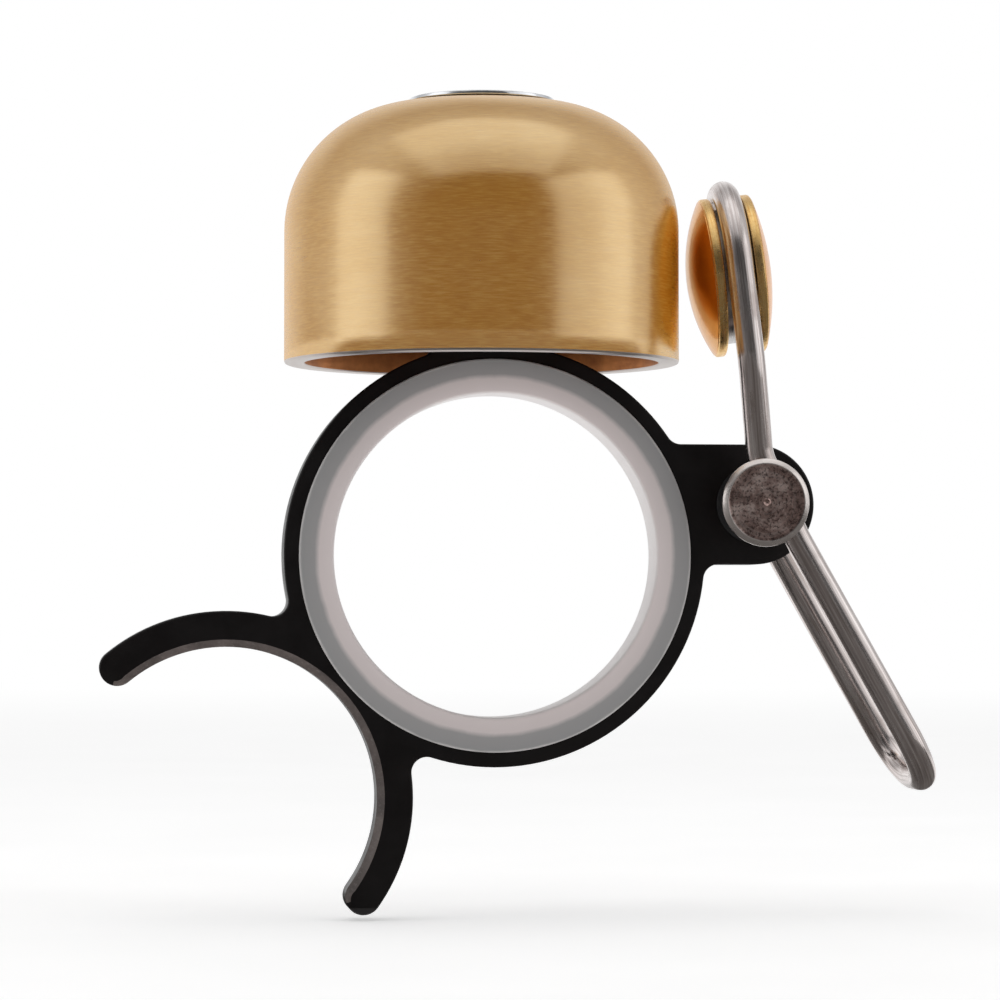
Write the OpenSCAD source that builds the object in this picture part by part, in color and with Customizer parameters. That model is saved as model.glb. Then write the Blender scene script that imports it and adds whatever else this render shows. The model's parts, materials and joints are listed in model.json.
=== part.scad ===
// Small brass bicycle bell with a wire striker, on a ring bracket for a 22.2 mm bar.
//
// Frame: millimetres, +Z up, origin at the centre of the bar bore, halfway through the bracket.
// The bar runs along Y. The striker is on the +X side and its near leg is on the -Y side.

/* [Bar ring] */
// Diameter of the handlebar that the liner grips
bar_d = 22.2; // [20:0.1:23]
// Diameter of the hole through the metal ring
ring_hole_d = 24.4; // [24:0.1:25]
// Outer diameter of the metal ring
ring_d = 29; // [28.6:0.1:30]
// Thickness of the bracket plate, along the bar
plate_t = 3.4; // [3.2:0.1:4]
// Diameter of the liner's lips, which fold over the ring's faces
lip_d = 26.96; // [26:0.02:27.4]
// Thickness of each lip
lip_t = 0.3; // [0.2:0.05:0.5]

/* [Pivot lug] */
// How far the striker's pivot is to the right of the bar's centre
pivot_x = 18; // [17.5:0.1:19]
// Height of the pivot above the bar's centre
pivot_z = 3.55; // [3:0.05:4]
// Height of the lug, which is also its round end's diameter
lug_h = 8.3; // [8:0.1:9]
// Radius of the blends between the ring, the lug and the claw arms
blend_r = 1.05; // [0.8:0.05:1.3]

/* [Claw] */
// Sideways place of the claw's centre
claw_x = -18.4; // [-19:0.1:-18]
// Height of the claw's centre
claw_z = -16.55; // [-17:0.05:-16]
// Radius of the round hollow that the claw hugs
claw_r = 10.3; // [10:0.05:10.5]
// Width of the claw's two arms
claw_w = 2.45; // [2.2:0.05:2.8]
// Width of the bevel along the hollow's edges
claw_bevel = 0.5; // [0.3:0.05:0.6]
// Direction of the upper arm's tip, in degrees anticlockwise from +X
upper_tip_angle = 129.6; // [115:0.1:140]
// Direction of the lower arm's tip
lower_tip_angle = -35.7; // [-45:0.1:-20]

/* [Bell] */
// Sideways place of the bell's axis
bell_x = -0.8; // [-1:0.1:0]
// Height of the bell's open rim
rim_z = 13.2; // [13:0.1:14]
// Outer diameter of the bell
bell_d = 27.2; // [26.6:0.1:27.4]
// Height of the bell, rim to crown
bell_h = 17.9; // [17.5:0.1:18.5]
// Radius of the round shoulder
shoulder_r = 8.8; // [8:0.1:9.5]
// Thickness of the bell's wall
bell_wall = 1.4; // [1:0.1:1.6]
// Diameter of the low screw head on the crown
cap_d = 10.1; // [9:0.1:11]

/* [Striker] */
// Diameter of the striker's spring wire
wire_d = 1.86; // [1.8:0.02:1.9]
// Distance between the two legs of the thumb loop
loop_w = 9.2; // [9:0.1:9.6]
// Diameter of the waist between the buttons, which the wire runs round
waist_d = 9.34; // [9.3:0.02:9.4]
// Diameter of the rear drum and the front head
drum_d = 6; // [5.9:0.1:6.1]
// Height of the rear drum, and of the front head with its neck
drum_h = 4.2; // [4.2:0.1:4.5]
// Diameter of the pivot pin
pin_d = 3; // [2.6:0.1:3]
// Diameter of the two brass buttons
button_d = 11; // [10.9:0.1:11.2]
// Gap between the buttons' rims
button_gap = 2.1; // [2.05:0.05:2.2]
// Lean of the buttons, top towards the bell, in degrees
button_lean = 6.7; // [6.5:0.1:7]
// Turn of the buttons about the upright, front edge towards the bell, in degrees
button_turn = 3.6; // [3:0.2:4]

/* [Hidden] */
$fn = 96;
eps = 0.01;

// Bracket
ring_r = ring_d / 2;
half_t = plate_t / 2;
lug_r = lug_h / 2;
claw_mid_r = claw_r + claw_w / 2;
boss_r = 3.4;
boss_foot_z = 14.2;
boss_top_z = 17;
screw_hole_r = 1.5;
screw_hole_foot_z = 13.95;
spring_pocket_r = 2.6;
spring_pocket_d = 1.8;
spring_notch_w = 0.8;
spring_notch_r = 3.5;
pin_hole_r = pin_d / 2 + 0.04;

// Bell stack, from the boss upwards
bell_r = bell_d / 2;
crown_z = rim_z + bell_h;
inner_crown_z = crown_z - bell_wall;
lock_washer_t = 0.6;
lock_washer_split = 0.5;
seat_washer_t = 0.6;
seat_washer_r = 3.6;
spacer_r = 2.75;
spacer_bore_r = 1.6;
spacer_foot_z = boss_top_z + lock_washer_t;
spacer_top_z = inner_crown_z - seat_washer_t;
rim_bevel = 0.15;
cap_washer_t = 0.15;
cap_edge_t = 0.25;
cap_rise = 0.35;
cap_r = cap_d / 2;
cap_z = crown_z + cap_washer_t;
screw_r = 1.48;
screw_tip_z = 14.05;
hex_af = 2;
hex_depth = 1.4;

// Pivot
washer_gap = 0.05;
drum_gap = 0.3;
drum_base_y = half_t + drum_gap;
drum_r = drum_d / 2;
drum_bevel = 0.34;
front_head_t = 0.5;
front_neck_r = 2.1;
front_collar_r = 2.5;
front_collar_foot = 1.35;
pin_tip_y = drum_base_y + 1.35;
wire_hole_r = wire_d / 2 + 0.09;
wire_hole_over = 2;
spring_wire_r = 0.22;
spring_coil_r = 2.1;
spring_coils = 3;
spring_pitch = 0.5;
spring_foot_y = 0.2;
spring_foot_l = 1.1;
spring_foot_bend = 0.25;
spring_tang_y = drum_base_y + 0.7;
spring_tang_bend = [0.05, 0.3, 0];

// Buttons
button_r = button_d / 2;
button_edge = 0.65;
strike_rise = 1.4;
outer_rise = 0.95;
rivet_end_r = 0.9;
rivet_end_l = 0.9;
hammer = [16.68, 19.49];
// Directions in the plane halfway between the buttons: towards the front, and up
hammer_front = [-sin(button_turn), -cos(button_turn), 0];
hammer_up = [-sin(button_lean) * cos(button_turn), sin(button_lean) * sin(button_turn),
             cos(button_lean)];

// Striker wire: the corners of one bent wire, from its far end, and the bend at each corner
leg_y = loop_w / 2;
waist_clearance = 0.06;
eye_r = waist_d / 2 + wire_d / 2 + waist_clearance;
eye_bend_r = eye_r - 0.1;
// Heights, from the buttons' axis, at which the eye's front leg starts and its free end stops
eye_foot = -6.6;
eye_end = -4;
loop_end = [29.7, -15.3];
drum_exit = [20.3, 1.3];
drum_entry = [17.8, 6.85];
wire_corners = [
    place(drum_entry, leg_y),
    place(drum_exit, leg_y),
    place(loop_end, leg_y),
    place(loop_end, -leg_y),
    place(drum_exit, -leg_y),
    place(drum_entry, -leg_y),
    on_eye(eye_r, eye_foot),
    on_eye(eye_r, eye_r),
    on_eye(-eye_r, eye_r),
    on_eye(-eye_r, eye_end)
];
wire_bends = [0, 6, 3.6, 3.6, 6, 3.5, 10, eye_bend_r, eye_bend_r, 0];
wire_sides = 20;
bend_steps = 8;

// A point at [x, z] on the plane y
function place(p, y) = [p[0], y, p[1]];
// A point in the plane between the buttons, measured from their axis
function on_eye(front, up) = place(hammer, 0) + front * hammer_front + up * hammer_up;
function unit(v) = v / norm(v);

// Points of the arc that rounds corner b of the path a-b-c to radius r
function bend(a, b, c, r) =
    let (u = unit(a - b), v = unit(c - b), corner = acos(u * v), turn = 180 - corner,
         centre = b + unit(u + v) * r / sin(corner / 2),
         from = b + u * r / tan(corner / 2) - centre,
         to = b + v * r / tan(corner / 2) - centre)
    [for (i = [0 : bend_steps]) let (s = i / bend_steps)
        centre + (from * sin((1 - s) * turn) + to * sin(s * turn)) / sin(turn)];

// The whole path through corners p with bend radii r
function route(p, r) =
    [for (i = [0 : len(p) - 1])
        each (r[i] == 0 ? [p[i]] : bend(p[i - 1], p[i], p[i + 1], r[i]))];

// Unit direction of path p at point i
function heading(p, i) =
    unit(unit(p[min(i + 1, len(p) - 1)] - p[i] + (i == len(p) - 1 ? p[i] - p[i - 1] : [0, 0, 0]))
        + unit(p[i] - p[max(i - 1, 0)] + (i == 0 ? p[1] - p[0] : [0, 0, 0])));

// Sideways unit vectors carried along path p without twist, starting from v
function carried(p, v, i = 0) =
    let (t = heading(p, i), n = unit(v - t * (v * t)))
    i == len(p) - 1 ? [n] : concat([n], carried(p, n, i + 1));

// Solid round rod of radius r along path p
module rod(p, r, sides, side_hint) {
    normals = carried(p, side_hint);
    rings = len(p);
    points = [for (i = [0 : rings - 1])
        let (t = heading(p, i), n = normals[i], b = cross(t, n))
        for (k = [0 : sides - 1]) let (a = 360 * k / sides)
            p[i] + r * (cos(a) * n + sin(a) * b)];
    walls = [for (i = [0 : rings - 2]) for (k = [0 : sides - 1])
        let (j = (k + 1) % sides)
        each [[i * sides + k, (i + 1) * sides + k, (i + 1) * sides + j],
              [i * sides + k, (i + 1) * sides + j, i * sides + j]]];
    first_cap = [for (k = [0 : sides - 1]) k];
    last_cap = [for (k = [sides - 1 : -1 : 0]) (rings - 1) * sides + k];
    polyhedron(points = points, faces = concat([first_cap], walls, [last_cap]));
}

// Extrudes a drawing of the X-Z plane along Y, centred on the bracket's middle
module across(t) {
    rotate([90, 0, 0])
        linear_extrude(height = t, center = true)
            children();
}

// Turns a solid drawn along +Z to point along -Y or +Y, standing on plane y
module facing_front(x, y, z) {
    translate([x, -y, z])
        rotate([90, 0, 0])
            children();
}

module facing_back(x, y, z) {
    translate([x, y, z])
        rotate([-90, 0, 0])
            children();
}

// Fills the concave corner between two round outlines with a blend of radius r
module blend_between(a, ra, b, rb, r, side) {
    gap = norm(b - a);
    along = ((ra + r) * (ra + r) - (rb + r) * (rb + r) + gap * gap) / (2 * gap);
    up = side * sqrt((ra + r) * (ra + r) - along * along);
    dir = (b - a) / gap;
    centre = a + dir * along + [-dir[1], dir[0]] * up;
    difference() {
        polygon([a, b, centre]);
        translate(centre) circle(r);
    }
}

// Fills the corner between the ring and a level edge at height z, above it (1) or below it (-1)
module blend_to_level(z, r, side) {
    centre_z = z + side * r;
    centre_x = sqrt((ring_r + r) * (ring_r + r) - centre_z * centre_z);
    difference() {
        polygon([[0, 0], [centre_x, centre_z], [centre_x, z - side]]);
        translate([centre_x, centre_z]) circle(r);
    }
}

// Fills the corner between the ring and an upright edge at x, outside it
module blend_to_upright(x, r, side) {
    centre_x = x + side * r;
    centre_z = sqrt((ring_r + r) * (ring_r + r) - centre_x * centre_x);
    difference() {
        polygon([[0, 0], [centre_x, centre_z], [x - side, centre_z]]);
        translate([centre_x, centre_z]) circle(r);
    }
}

module claw_outline() {
    claw = [claw_x, claw_z];
    outer_r = claw_r + claw_w;
    reach = 3 * claw_r;
    difference() {
        union() {
            intersection() {
                translate(claw) circle(outer_r);
                polygon([claw,
                         claw + reach * [cos(lower_tip_angle), sin(lower_tip_angle)],
                         claw + reach * [1, 0],
                         claw + reach * [1, 1],
                         claw + reach * [0, 1],
                         claw + reach * [cos(upper_tip_angle), sin(upper_tip_angle)]]);
            }
            for (angle = [lower_tip_angle, upper_tip_angle])
                translate(claw + claw_mid_r * [cos(angle), sin(angle)]) circle(claw_w / 2 + eps);
            for (side = [-1, 1])
                blend_between([0, 0], ring_r, claw, outer_r, blend_r, side);
        }
        translate(claw) circle(claw_r);
    }
}

module plate_outline() {
    difference() {
        union() {
            circle(ring_r);
            claw_outline();
            translate([pivot_x, pivot_z]) circle(lug_r);
            translate([0, pivot_z - lug_r]) square([pivot_x, lug_h]);
            blend_to_level(pivot_z + lug_r, blend_r, 1);
            blend_to_level(pivot_z - lug_r, blend_r, -1);
            translate([bell_x - boss_r, 0]) square([2 * boss_r, boss_foot_z + 1]);
            for (side = [-1, 1])
                blend_to_upright(bell_x + side * boss_r, blend_r, side);
        }
        circle(ring_hole_d / 2);
        translate([claw_x, claw_z]) circle(claw_r);
    }
}

// Flat plate with the bar ring, the striker's lug, the claw and the boss that carries the bell
module bracket() {
    color("#1c1b1c")
    difference() {
        union() {
            across(plate_t) plate_outline();
            translate([bell_x, 0, boss_foot_z])
                cylinder(r = boss_r, h = boss_top_z - boss_foot_z);
        }
        translate([bell_x, 0, screw_hole_foot_z])
            cylinder(r = screw_hole_r, h = boss_top_z - screw_hole_foot_z + 1);
        for (turn = [90, -90])
            translate([claw_x, 0, claw_z])
                rotate([turn, 0, 0])
                    translate([0, 0, half_t - claw_bevel])
                        cylinder(r1 = claw_r, r2 = claw_r + claw_bevel + eps, h = claw_bevel + eps);
        facing_front(pivot_x, half_t + 1, pivot_z)
            mirror([0, 0, 1])
                cylinder(r = pin_hole_r, h = plate_t + 2);
        facing_back(pivot_x, half_t - spring_pocket_d, pivot_z)
            cylinder(r = spring_pocket_r, h = spring_pocket_d + 1);
        translate([pivot_x - spring_notch_r, half_t - spring_pocket_d, pivot_z - spring_notch_w / 2])
            cube([spring_notch_r, spring_pocket_d + 1, spring_notch_w]);
    }
}

// Clear grommet of channel section that grips the ring's inner edge and the bar
module bar_liner() {
    color("#c4c0be")
    rotate([90, 0, 0])
        rotate_extrude()
            difference() {
                translate([bar_d / 2, -half_t - lip_t])
                    square([(lip_d - bar_d) / 2, plate_t + 2 * lip_t]);
                translate([ring_hole_d / 2, -half_t])
                    square([lip_d, plate_t]);
            }
}

// Tube that holds the bell clear of the bracket
module spacer_tube() {
    color("#a9a9ab")
    translate([bell_x, 0, spacer_foot_z])
        difference() {
            cylinder(r = spacer_r, h = spacer_top_z - spacer_foot_z);
            translate([0, 0, -1])
                cylinder(r = spacer_bore_r, h = bell_h);
        }
}

// Split spring washer between the tube and the boss
module spacer_lock_washer() {
    color("#8f9092")
    translate([bell_x, 0, boss_top_z])
        difference() {
            cylinder(r = spacer_r, h = lock_washer_t);
            translate([0, 0, -1])
                cylinder(r = spacer_bore_r, h = lock_washer_t + 2);
            rotate([0, 0, 30])
                translate([0, -lock_washer_split / 2, -1])
                    cube([2 * spacer_r, lock_washer_split, lock_washer_t + 2]);
        }
}

// Soft washer that the bell sits on, so that it can ring
module bell_seat_washer() {
    color("#3a2c22")
    translate([bell_x, 0, spacer_top_z])
        difference() {
            cylinder(r = seat_washer_r, h = seat_washer_t);
            translate([0, 0, -1])
                cylinder(r = spacer_bore_r, h = seat_washer_t + 2);
        }
}

// Half section of a bell-shaped solid: straight skirt, round shoulder and flat crown
module bell_section(r, foot_z, top_z, corner_r) {
    translate([0, foot_z]) square([r, top_z - corner_r - foot_z]);
    translate([0, foot_z]) square([r - corner_r, top_z - foot_z]);
    intersection() {
        translate([r - corner_r, top_z - corner_r]) circle(corner_r);
        translate([0, top_z - corner_r]) square([r, corner_r]);
    }
}

// Brass bell: a drawn cup of even wall with a hole in its crown and bevelled rim edges
module bell_dome() {
    color("#c29a58")
    translate([bell_x, 0, 0])
        rotate_extrude()
            difference() {
                bell_section(bell_r, rim_z, crown_z, shoulder_r);
                bell_section(bell_r - bell_wall, rim_z - 1, inner_crown_z, shoulder_r - bell_wall);
                translate([0, rim_z]) square([spacer_bore_r, bell_h + 1]);
                polygon([[bell_r - rim_bevel, rim_z - eps], [bell_r + eps, rim_z - eps],
                         [bell_r + eps, rim_z + rim_bevel]]);
            }
}

// Thin dark washer under the screw head
module cap_washer() {
    color("#3a2c22")
    translate([bell_x, 0, crown_z])
        difference() {
            cylinder(r = cap_r - 0.35, h = cap_washer_t);
            translate([0, 0, -1])
                cylinder(r = spacer_bore_r, h = cap_washer_t + 2);
        }
}

// Long screw with a wide, low head that clamps the bell and the tube down on the boss
module cap_screw() {
    dome_r = (cap_r * cap_r + cap_rise * cap_rise) / (2 * cap_rise);
    color("#c8c6c4")
    translate([bell_x, 0, 0])
        difference() {
            union() {
                translate([0, 0, screw_tip_z])
                    cylinder(r = screw_r, h = cap_z - screw_tip_z + eps);
                translate([0, 0, cap_z])
                    rotate_extrude()
                        intersection() {
                            translate([0, cap_edge_t + cap_rise - dome_r]) circle(dome_r);
                            square([cap_r, cap_edge_t + cap_rise]);
                        }
            }
            translate([0, 0, cap_z + cap_edge_t + cap_rise - hex_depth])
                cylinder(r = hex_af / sqrt(3), h = hex_depth + 1, $fn = 6);
        }
}

// Slippery washer between the pin's neck and the lug
module pivot_washer() {
    color("#17171a")
    facing_front(pivot_x, half_t, pivot_z)
        difference() {
            cylinder(r = drum_r - 0.3, h = drum_gap - washer_gap);
            translate([0, 0, -1])
                cylinder(r = pin_hole_r + 0.1, h = drum_gap + 2);
        }
}

// Torsion spring in the lug's rear pocket: one tang in the lug, one in the rear drum
module return_spring() {
    steps = 20;
    coil = [for (i = [0 : spring_coils * steps])
        let (a = 180 + 360 * i / steps)
        [pivot_x + spring_coil_r * cos(a), spring_foot_y + spring_pitch * i / steps,
         pivot_z + spring_coil_r * sin(a)]];
    foot = coil[0];
    head = coil[len(coil) - 1];
    color("#9a9a9c")
    rod(concat([foot - [spring_foot_l, 0, 0], foot - [spring_foot_bend, 0, 0]],
               [for (i = [1 : len(coil) - 1]) coil[i]],
               [head + spring_tang_bend, [head[0] + spring_tang_bend[0], spring_tang_y, head[2]]]),
        spring_wire_r, 8, [0, 1, 0]);
}

// Cross hole along the straight run of wire that the pin's neck or the drum grips
module wire_hole(y) {
    run = drum_exit - drum_entry;
    tilt = atan2(run[0], run[1]);
    translate(place(drum_entry, y))
        rotate([0, tilt, 0])
            translate([0, 0, -wire_hole_over])
                cylinder(r = wire_hole_r, h = norm(run) + 2 * wire_hole_over);
}

// Drum with a bevelled face, over the top of its height
module drum_body(head_t) {
    translate([0, 0, drum_h - head_t])
        cylinder(r = drum_r, h = head_t - drum_bevel);
    translate([0, 0, drum_h - drum_bevel])
        cylinder(r1 = drum_r, r2 = drum_r - drum_bevel, h = drum_bevel);
}

// Pivot pin with a thin front head, and behind it the collar that the wire runs through
module pivot_pin() {
    color("#a8a6a5")
    difference() {
        union() {
            facing_front(pivot_x, drum_base_y, pivot_z) {
                drum_body(front_head_t);
                cylinder(r = front_neck_r, h = front_collar_foot + eps);
                translate([0, 0, front_collar_foot])
                    cylinder(r = front_collar_r, h = drum_h - front_head_t - front_collar_foot + eps);
            }
            facing_back(pivot_x, -drum_base_y - eps, pivot_z)
                cylinder(r = pin_d / 2, h = drum_base_y + pin_tip_y);
        }
        wire_hole(-leg_y);
    }
}

// Rear drum, pressed on the pin's end
module rear_drum() {
    tang_a = 180 + 360 * spring_coils;
    color("#a8a6a5")
    difference() {
        facing_back(pivot_x, drum_base_y, pivot_z)
            drum_body(drum_h);
        facing_back(pivot_x, drum_base_y - 1, pivot_z)
            cylinder(r = pin_d / 2, h = 1 + pin_tip_y - drum_base_y + 0.05);
        facing_back(pivot_x + spring_coil_r * cos(tang_a), drum_base_y - 1,
                    pivot_z + spring_coil_r * sin(tang_a))
            cylinder(r = spring_wire_r + 0.15, h = 2);
        wire_hole(leg_y);
    }
}

// One bent wire: rear leg, thumb loop, front leg, and the open eye round the buttons' waist
module striker_wire() {
    color("#b9b5b2")
    rod(route(wire_corners, wire_bends), wire_d / 2, wire_sides, [0, 1, 0]);
}

// Domed button that stands on the plane of its rim and points along +Z
module button(rise) {
    dome_r = (button_r * button_r + rise * rise) / (2 * rise);
    top = button_edge + rise;
    difference() {
        rotate_extrude()
            intersection() {
                translate([0, top - dome_r]) circle(dome_r);
                square([button_r, top]);
            }
        translate([0, 0, -1])
            cylinder(r = rivet_end_r, h = 1 + rivet_end_l);
    }
}

// Places a solid on the hammer's axis: towards the bell (-1) or away from it (1)
module on_hammer(side, lift) {
    translate(place(hammer, 0))
        rotate([0, 0, -button_turn])
            rotate([0, side * 90 - button_lean, 0])
                translate([0, 0, lift])
                    children();
}

module strike_button() {
    color("#b4792e")
    on_hammer(-1, button_gap / 2)
        button(strike_rise);
}

module outer_button() {
    color("#b4792e")
    on_hammer(1, button_gap / 2)
        button(outer_rise);
}

// Waist between the buttons, with a rivet end pressed into each of them
module hammer_rivet() {
    color("#a8a6a5")
    on_hammer(1, 0) {
        cylinder(d = waist_d, h = button_gap, center = true);
        cylinder(r = rivet_end_r, h = button_gap + 2 * rivet_end_l - 4 * eps, center = true);
    }
}

bracket();
bar_liner();
spacer_tube();
spacer_lock_washer();
bell_seat_washer();
bell_dome();
cap_washer();
cap_screw();
pivot_washer();
return_spring();
pivot_pin();
rear_drum();
striker_wire();
strike_button();
outer_button();
hammer_rivet();
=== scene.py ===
import json
import math

import bmesh
import bpy
from mathutils import Matrix, Vector


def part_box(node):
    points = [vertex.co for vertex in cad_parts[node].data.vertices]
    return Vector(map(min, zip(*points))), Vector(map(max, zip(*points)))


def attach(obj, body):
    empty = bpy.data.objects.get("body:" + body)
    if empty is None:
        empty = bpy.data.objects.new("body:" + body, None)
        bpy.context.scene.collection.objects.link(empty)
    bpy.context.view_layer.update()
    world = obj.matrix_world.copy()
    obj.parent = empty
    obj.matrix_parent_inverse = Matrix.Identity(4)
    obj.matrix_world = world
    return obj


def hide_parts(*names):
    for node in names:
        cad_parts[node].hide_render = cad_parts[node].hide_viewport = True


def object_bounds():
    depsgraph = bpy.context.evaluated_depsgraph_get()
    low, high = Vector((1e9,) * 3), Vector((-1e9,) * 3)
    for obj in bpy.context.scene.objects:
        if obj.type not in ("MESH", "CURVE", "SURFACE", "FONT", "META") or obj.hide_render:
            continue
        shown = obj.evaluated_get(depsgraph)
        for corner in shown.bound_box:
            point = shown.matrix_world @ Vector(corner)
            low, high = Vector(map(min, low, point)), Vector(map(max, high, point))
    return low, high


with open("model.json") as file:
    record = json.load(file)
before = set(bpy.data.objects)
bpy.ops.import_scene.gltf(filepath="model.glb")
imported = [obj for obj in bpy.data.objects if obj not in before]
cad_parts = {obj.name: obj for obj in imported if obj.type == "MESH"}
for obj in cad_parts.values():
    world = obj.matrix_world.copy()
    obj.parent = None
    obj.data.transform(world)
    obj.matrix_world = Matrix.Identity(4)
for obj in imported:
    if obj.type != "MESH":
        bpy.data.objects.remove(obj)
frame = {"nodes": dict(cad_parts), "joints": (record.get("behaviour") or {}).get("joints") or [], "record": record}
cad_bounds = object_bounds()

# Lengths below are in millimetres, and are turned into metres where a mesh is made.
MM = 0.001
BELL, STRIKER = "bell", "striker"
# Edges that turn by more degrees than this are shaded sharp, unless a piece says otherwise.
SHARP = 32
# Cutting tools are this long, which is well past what they cut.
TOOL_LENGTH = 8
# In metres: the floor is this far below the object's lowest point, and the dark card this far above it.
FLOOR_GAP, CARD_RISE = 0.0004, 0.0005
mounts = {mount["name"]: mount for mount in frame["record"]["mounts"]}


def corners(node):
    """The lowest and highest corner of a CAD node, in millimetres."""
    low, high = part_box(node)
    return low / MM, high / MM


# ---- Driving sizes, read from the frame ----
pivot = Vector(frame["joints"][0]["pos_m"]) / MM
claw_centre = Vector(mounts["claw"]["pos_m"]) / MM
claw_r = mounts["claw"]["dims"]["r_mm"]
bar_r = mounts["handlebar"]["dims"]["r_mm"]

liner_high = corners("bar_liner")[1]
lip_r, liner_half_w = liner_high.x, liner_high.y

bracket_high = corners("bracket")[1]
lug_r = bracket_high.x - pivot.x
boss_top_z = bracket_high.z

dome_low, dome_high = corners("bell_dome")
bell_r = (dome_high.x - dome_low.x) / 2
bell_x = dome_low.x + bell_r
rim_z, crown_z = dome_low.z, dome_high.z
screw_high = corners("cap_screw")[1]
screw_low = corners("cap_screw")[0]
cap_r = screw_high.x - bell_x

drum_low, drum_high = corners("rear_drum")
drum_r = (drum_high.z - drum_low.z) / 2
drum_base_y, drum_face_y = drum_low.y, drum_high.y

# ---- Bracket, a plate between the liner's two lips ----
lip_t = 0.3
half_t = liner_half_w - lip_t
ring_r = 14.5
ring_hole_r = 12.2
blend_r = 1.05
claw_w = 2.45
upper_tip, lower_tip = math.radians(129.6), math.radians(-35.7)
claw_bevel = 0.5
edge_round = 0.17
boss_r = 3.4
boss_foot_z, boss_root_z = 15.2, 13.9
boss_edge = 0.15
screw_hole_r, screw_hole_floor_z = 1.5, 13.95
spring_pocket_r, spring_pocket_floor = 2.6, -0.1
spring_notch_l, spring_notch_w = 3.5, 0.8
pin_hole_r = 1.54

# ---- Bell ----
shoulder_r = 8.8
bell_wall = 1.4
crown_hole_r = 1.6

# ---- Bell's screw ----
cap_washer_t = 0.15
cap_edge_t = 0.25
shank_r = 1.48
socket_r, socket_depth = 1.155, 1.4

# ---- Striker wire: corners (x, z) and bend radii, as in the CAD part ----
wire_r = 0.93
leg_y = 4.6
loop_end = (29.7, -15.3)
drum_exit = (20.3, 1.3)
drum_entry = (17.8, 6.85)
loop_bend_r, exit_bend_r, entry_bend_r = 3.6, 6, 3.5
eye_r, eye_bend_r = 5.66, 5.56
eye_foot, eye_end = -6.6, -4
eye_foot_bend_r = 10
wire_fit = 0.07

# ---- Pivot pin, drums and washer ----
pin_r = 1.5
pin_chamfer = 0.2
front_head_t = 0.5
front_neck_r, front_collar_r, front_collar_foot = 2.1, 2.5, 1.35
washer_fit = 0.14

# ---- Return spring ----
spring_wire_r = 0.22
spring_coil_r, spring_pitch, spring_coils = 2.1, 0.5, 3
spring_foot_y, spring_foot_l, spring_foot_bend = 0.2, 1.1, 0.25
spring_tang_bend = Vector((0.05, 0.3, 0))
spring_tang_y = drum_base_y + 0.7

# ---- Buttons ----
hammer = Vector((16.68, 0, 19.49))
button_lean = math.radians(6.7)
button_turn = math.radians(3.6)
button_r = 5.5
button_gap = 2.1
button_edge = 0.65
strike_rise, outer_rise = 1.4, 0.95
waist_r = 4.67
rivet_end_r, rivet_end_l = 0.9, 0.9


# ======================= Curves =======================

def bend(a, b, c, radius, steps):
    """Points of the arc that rounds corner b of the path a-b-c."""
    u, v = (a - b).normalized(), (c - b).normalized()
    corner = u.angle(v)
    turn = math.pi - corner
    centre = b + (u + v).normalized() * radius / math.sin(corner / 2)
    start = b + u * radius / math.tan(corner / 2) - centre
    end = b + v * radius / math.tan(corner / 2) - centre
    shares = [i / steps for i in range(steps + 1)]
    return [centre + (start * math.sin((1 - s) * turn) + end * math.sin(s * turn)) / math.sin(turn)
            for s in shares]


def route(points, radii, steps):
    """A path through points, rounded at each corner that has a radius."""
    path = []
    for i, (point, radius) in enumerate(zip(points, radii)):
        path += bend(points[i - 1], point, points[i + 1], radius, steps) if radius else [point]
    return path


def rounded_profile(points):
    """A lathe profile from (radius, height, rounding) corners."""
    steps = 4
    at = [Vector((r, z, 0)) for r, z, _ in points]
    path = []
    for i, (_, _, rounding) in enumerate(points):
        after = at[(i + 1) % len(at)]
        path += bend(at[i - 1], at[i], after, rounding, steps) if rounding else [at[i]]
    return [(p.x, p.y) for p in path]


def spaced(path, step):
    """The same path with extra points, so that none is further than step from the next."""
    points = [path[0]]
    for a, b in zip(path, path[1:]):
        count = max(1, math.ceil((b - a).length / step))
        points += [a.lerp(b, k / count) for k in range(1, count + 1)]
    return points


# ======================= Meshes =======================

def finish_mesh(name, bm, materials):
    """An object from a bmesh in millimetres."""
    bmesh.ops.scale(bm, vec=(MM, MM, MM), verts=bm.verts)
    bmesh.ops.recalc_face_normals(bm, faces=bm.faces)
    mesh = bpy.data.meshes.new(name)
    bm.to_mesh(mesh)
    bm.free()
    mesh.shade_smooth()
    for material in materials:
        mesh.materials.append(material)
    piece = bpy.data.objects.new(name, mesh)
    bpy.context.scene.collection.objects.link(piece)
    return piece


def make_piece(name, bm, materials, body, node, matrix=None, sharp=SHARP, cutters=()):
    """A piece that stands for a CAD node, which it hides, on the given body. Cutters are taken out of it."""
    piece = finish_mesh(name, bm, materials)
    if matrix is not None:
        piece.matrix_world = matrix
    for cutter in cutters:
        combine(piece, cutter, "DIFFERENCE")
    piece.data.set_sharp_from_angle(angle=math.radians(sharp))
    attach(piece, body)
    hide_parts(node)
    return piece


def combine(piece, tool, operation):
    """Takes a tool out of a piece, or joins it on, and deletes the tool."""
    modifier = piece.modifiers.new("shape", "BOOLEAN")
    modifier.operation = operation
    modifier.solver = "EXACT"
    modifier.object = tool
    bpy.context.view_layer.update()
    depsgraph = bpy.context.evaluated_depsgraph_get()
    shaped = bpy.data.meshes.new_from_object(piece.evaluated_get(depsgraph))
    piece.modifiers.clear()
    piece.data = shaped
    bpy.data.objects.remove(tool)


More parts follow.
